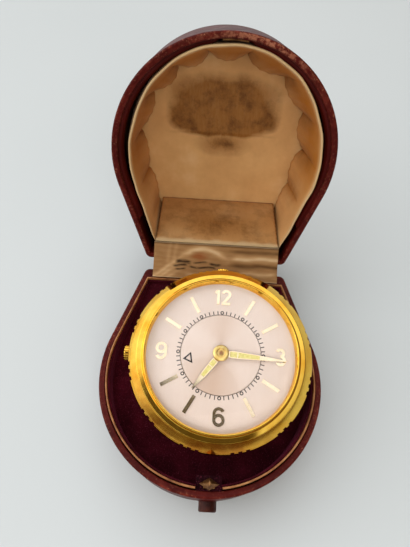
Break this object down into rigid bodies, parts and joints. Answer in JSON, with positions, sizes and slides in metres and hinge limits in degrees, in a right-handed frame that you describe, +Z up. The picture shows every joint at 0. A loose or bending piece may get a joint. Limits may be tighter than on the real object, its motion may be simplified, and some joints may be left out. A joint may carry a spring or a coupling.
{
  "type": "travel alarm clock",
  "caption": "Gilt travel alarm clock with a notched grip ring, seated in an open horseshoe leather case whose hinged lid is lined with ruched satin.",
  "frame": {"origin": "on the table, under the centre of the case's front arc", "axes": "+X to the clock's 3 o'clock side, +Y back to the hinge, +Z up; the lid stands open at rest"},
  "size_m": [0.074, 0.1403, 0.0935],
  "materials": {
    "oxblood_leather": "polished",
    "case_wood": "raw",
    "tan_lip": "worn",
    "velvet": "velvet",
    "satin": "satin",
    "ribbon": "satin",
    "case_brass": "worn",
    "clock_gilt": "polished gilt",
    "marker_gilt": "polished gilt",
    "dial_silver": "satin",
    "crystal": "clear",
    "movement_brass": "brushed",
    "steel": "brushed"
  },
  "bodies": {
    "case": {"base_leather": "oxblood_leather", "base_carcass": "case_wood", "base_lip": "tan_lip", "seat_block": "case_wood", "velvet_seat": "velvet", "velvet_wall": "velvet", "catch_block": "velvet", "catch_spring": "steel", "hinge_leaf_base": "case_brass", "hinge_pin": "steel", "hinge_ribbon": "ribbon", "case_back": "clock_gilt", "clock_case": "clock_gilt", "grip_ring": "clock_gilt", "bezel": "clock_gilt", "crystal": "crystal", "rehaut_ring": "clock_gilt", "crown_tubes": "clock_gilt", "dial": "dial_silver", "hour_batons": "marker_gilt", "hour_numerals": "marker_gilt", "main_plate": "movement_brass", "train_bridge": "movement_brass", "balance_cock": "movement_brass", "movement_screws": "steel", "hairspring": "steel"},
    "lid": {"lid_leather": "oxblood_leather", "lid_carcass": "case_wood", "lid_back_pad": "satin", "lid_side_puff": "satin", "lid_hinge_panel": "satin", "lid_keeper": "case_brass", "hinge_leaf_lid": "case_brass"},
    "catch": {"catch_button": "case_brass", "catch_hook": "case_brass"},
    "minute": {"minute_hand": "marker_gilt", "cannon_pinion": "movement_brass", "hand_cap": "marker_gilt"},
    "minute_wheel": {"minute_wheel": "movement_brass"},
    "hour": {"hour_hand": "marker_gilt", "hour_wheel": "movement_brass"},
    "alarm_setting": {"alarm_disc": "dial_silver", "alarm_pointer": "marker_gilt", "alarm_wheel": "movement_brass"},
    "winding_stem": {"winding_stem": "steel"},
    "winding_crown": {"winding_crown": "clock_gilt"},
    "alarm_stem": {"alarm_stem": "steel"},
    "alarm_crown": {"alarm_crown": "clock_gilt"},
    "barrel": {"barrel": "movement_brass", "mainspring": "steel"},
    "barrel_arbor": {"barrel_arbor": "steel"},
    "ratchet_click": {"ratchet_click": "steel"},
    "centre_wheel": {"centre_wheel": "movement_brass"},
    "third_wheel": {"third_wheel": "movement_brass"},
    "fourth_wheel": {"fourth_wheel": "movement_brass"},
    "escape_wheel": {"escape_wheel": "steel"},
    "pallet_fork": {"pallet_fork": "steel"},
    "balance": {"balance_wheel": "movement_brass"},
    "alarm_barrel": {"alarm_barrel": "movement_brass"},
    "alarm_hammer": {"alarm_hammer": "steel"}
  },
  "joints": [
    {"name": "lid_hinge", "type": "hinge", "parent": "case", "child": "lid", "pos_m": [0, 0.0419, 0.0217], "axis": [1, 0, 0], "range_deg": [0, 114], "deforming": ["lid_side_puff", "lid_hinge_panel", "hinge_ribbon"]},
    {"name": "catch_slide", "type": "slide", "parent": "case", "child": "catch", "axis": [0, 1, 0], "range_m": [0, 0.001], "stiffness_N_per_m": 300, "springref_m": -0.002, "deforming": ["catch_spring"]},
    {"name": "minute_turn", "type": "hinge", "parent": "case", "child": "minute", "pos_m": [0.0027, 0.00379, 0.03005], "axis": [0, -0.1409, 0.99], "continuous": true},
    {"name": "minute_wheel_turn", "type": "hinge", "parent": "case", "child": "minute_wheel", "pos_m": [0.0047, 0.00092, 0.0256], "axis": [0, -0.1409, 0.99], "continuous": true},
    {"name": "hour_turn", "type": "hinge", "parent": "case", "child": "hour", "pos_m": [0.0027, 0.00379, 0.03005], "axis": [0, -0.1409, 0.99], "continuous": true},
    {"name": "alarm_set", "type": "hinge", "parent": "case", "child": "alarm_setting", "pos_m": [0.0027, 0.00393, 0.02906], "axis": [0, -0.1409, 0.99], "continuous": true},
    {"name": "winding_pull", "type": "slide", "parent": "case", "child": "winding_stem", "axis": [0, 0.99, 0.1409], "range_m": [0, 0.0006]},
    {"name": "winding_turn", "type": "hinge", "parent": "winding_stem", "child": "winding_crown", "pos_m": [0.0027, 0.03445, 0.02755], "axis": [0, 0.99, 0.1409], "continuous": true},
    {"name": "alarm_pull", "type": "slide", "parent": "case", "child": "alarm_stem", "axis": [-1, 0, 0], "range_m": [0, 0.0006]},
    {"name": "alarm_crown_turn", "type": "hinge", "parent": "alarm_stem", "child": "alarm_crown", "pos_m": [-0.0273, 0.00474, 0.02332], "axis": [-1, 0, 0], "continuous": true},
    {"name": "fourth_turn", "type": "hinge", "parent": "case", "child": "fourth_wheel", "pos_m": [-0.00621, 0.00005, 0.02144], "axis": [0, -0.1409, 0.99], "continuous": true},
    {"name": "third_turn", "type": "hinge", "parent": "case", "child": "third_wheel", "pos_m": [-0.004, 0.00608, 0.0223], "axis": [0, -0.1409, 0.99], "continuous": true},
    {"name": "centre_turn", "type": "hinge", "parent": "case", "child": "centre_wheel", "pos_m": [0.0027, 0.00491, 0.02213], "axis": [0, -0.1409, 0.99], "continuous": true},
    {"name": "barrel_turn", "type": "hinge", "parent": "case", "child": "barrel", "pos_m": [0.00987, 0.00988, 0.02284], "axis": [0, -0.1409, 0.99], "continuous": true},
    {"name": "escape_turn", "type": "hinge", "parent": "case", "child": "escape_wheel", "pos_m": [-0.00205, -0.00341, 0.02095], "axis": [0, -0.1409, 0.99], "continuous": true},
    {"name": "arbor_turn", "type": "hinge", "parent": "case", "child": "barrel_arbor", "pos_m": [0.00987, 0.01042, 0.01908], "axis": [0, -0.1409, 0.99], "continuous": true},
    {"name": "click_rock", "type": "hinge", "parent": "case", "child": "ratchet_click", "pos_m": [0.01883, 0.01119, 0.01919], "axis": [0, -0.1409, 0.99], "range_deg": [0, 8], "stiffness_Nm_per_rad": 0.00001, "springref_deg": -5.73},
    {"name": "pallet_rock", "type": "hinge", "parent": "case", "child": "pallet_fork", "pos_m": [0.0025, -0.00458, 0.02078], "axis": [0, -0.1409, 0.99], "range_deg": [-3, 3]},
    {"name": "balance_swing", "type": "hinge", "parent": "case", "child": "balance", "pos_m": [0.0079, -0.00598, 0.02058], "axis": [0, -0.1409, 0.99], "range_deg": [-150, 150], "stiffness_Nm_per_rad": 0.0000013, "deforming": ["hairspring"]},
    {"name": "alarm_barrel_turn", "type": "hinge", "parent": "case", "child": "alarm_barrel", "pos_m": [-0.0013, 0.01877, 0.0241], "axis": [0, -0.1409, 0.99], "continuous": true},
    {"name": "hammer_rock", "type": "hinge", "parent": "case", "child": "alarm_hammer", "pos_m": [-0.0103, 0.01679, 0.02382], "axis": [0, -0.1409, 0.99], "range_deg": [0, 8], "stiffness_Nm_per_rad": 0.00002, "springref_deg": -5.73}
  ],
  "couplings": [
    {"joint": "minute_wheel_turn", "follows": "minute_turn", "ratio": -0.33333},
    {"joint": "hour_turn", "follows": "minute_turn", "ratio": 0.083333},
    {"joint": "third_turn", "follows": "centre_turn", "ratio": -7.5},
    {"joint": "fourth_turn", "follows": "centre_turn", "ratio": 60},
    {"joint": "barrel_turn", "follows": "centre_turn", "ratio": -0.16667},
    {"joint": "escape_turn", "follows": "centre_turn", "ratio": -450}
  ]
}
